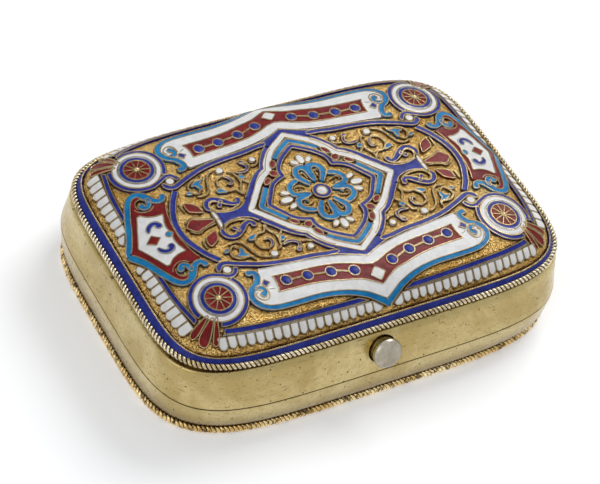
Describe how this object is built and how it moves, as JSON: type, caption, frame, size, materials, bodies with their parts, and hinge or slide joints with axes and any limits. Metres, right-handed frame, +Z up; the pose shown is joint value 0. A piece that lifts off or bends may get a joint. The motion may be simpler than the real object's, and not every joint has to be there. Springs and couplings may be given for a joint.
{
  "type": "enamel case",
  "caption": "Shallow hinged pocket case in gilt metal with rounded corners, rope borders, an enamel plaque on the lid and a push-button catch.",
  "frame": {"origin": "on the resting plane under the middle of the case", "axes": "+X along the case, -Y towards the front with the button, +Z up through the enamelled lid"},
  "size_m": [0.1046, 0.0811, 0.0284],
  "materials": {
    "gilt_body": "worn satin gilding over silver",
    "gilt_rope": "twisted wire, bright on the ridges",
    "gold_ground": "stippled gilding",
    "silver_button": "domed, lightly scratched",
    "steel_fittings": "satin",
    "white_enamel": "glossy fused enamel",
    "cobalt_enamel": "glossy fused enamel",
    "turquoise_enamel": "glossy fused enamel",
    "red_enamel": "glossy fused enamel"
  },
  "bodies": {
    "base": {"base_shell": "gilt_body", "base_plate": "gilt_body", "base_bezel": "gilt_body", "base_rope_border": "gilt_rope", "base_hinge_knuckle_1": "gilt_body", "base_hinge_knuckle_3": "gilt_body", "base_hinge_knuckle_5": "gilt_body", "hinge_pin": "steel_fittings", "catch_keeper": "steel_fittings"},
    "lid": {"lid_shell": "gilt_body", "lid_rope_border": "gilt_rope", "lid_hinge_knuckle_2": "gilt_body", "lid_hinge_knuckle_4": "gilt_body", "button_guide": "gilt_body", "button_spring": "steel_fittings", "top_plaque": "gold_ground", "blue_border_band": "cobalt_enamel", "white_tongues_long_front_left": "white_enamel", "white_tongues_long_front_right": "white_enamel", "white_tongues_long_rear_left": "white_enamel", "white_tongues_long_rear_right": "white_enamel", "white_tongues_short_front_left": "white_enamel", "white_tongues_short_front_right": "white_enamel", "white_tongues_short_rear_left": "white_enamel", "white_tongues_short_rear_right": "white_enamel", "corner_roundel_front_left": "white_enamel", "corner_roundel_front_right": "white_enamel", "corner_roundel_rear_left": "white_enamel", "corner_roundel_rear_right": "white_enamel", "red_palmette_front_left": "red_enamel", "red_palmette_front_right": "red_enamel", "red_palmette_rear_left": "red_enamel", "red_palmette_rear_right": "red_enamel", "long_cartouche_front": "white_enamel", "long_cartouche_rear": "white_enamel", "side_cartouche_left": "red_enamel", "side_cartouche_right": "red_enamel", "oval_line_left": "cobalt_enamel", "oval_line_right": "cobalt_enamel", "cobalt_strap_front": "cobalt_enamel", "cobalt_strap_rear": "cobalt_enamel", "medallion_frame": "cobalt_enamel", "medallion_flower": "turquoise_enamel", "bell_and_spade_left": "cobalt_enamel", "bell_and_spade_right": "cobalt_enamel", "blue_scroll_front_left": "cobalt_enamel", "blue_scroll_front_right": "cobalt_enamel", "blue_scroll_rear_left": "cobalt_enamel", "blue_scroll_rear_right": "cobalt_enamel", "leafy_branch_front_left": "turquoise_enamel", "leafy_branch_front_right": "turquoise_enamel", "leafy_branch_rear_left": "turquoise_enamel", "leafy_branch_rear_right": "turquoise_enamel"},
    "button": {"push_button": "silver_button", "button_stem": "silver_button", "catch_hook": "steel_fittings"}
  },
  "joints": [
    {"name": "lid_hinge", "type": "hinge", "parent": "base", "child": "lid", "pos_m": [0, 0.03926, 0.00959], "axis": [-1, 0, 0], "range_deg": [0, 105]},
    {"name": "button_press", "type": "slide", "parent": "lid", "child": "button", "axis": [0, 0.9397, -0.342], "range_m": [0, 0.0008], "stiffness_N_per_m": 900}
  ]
}
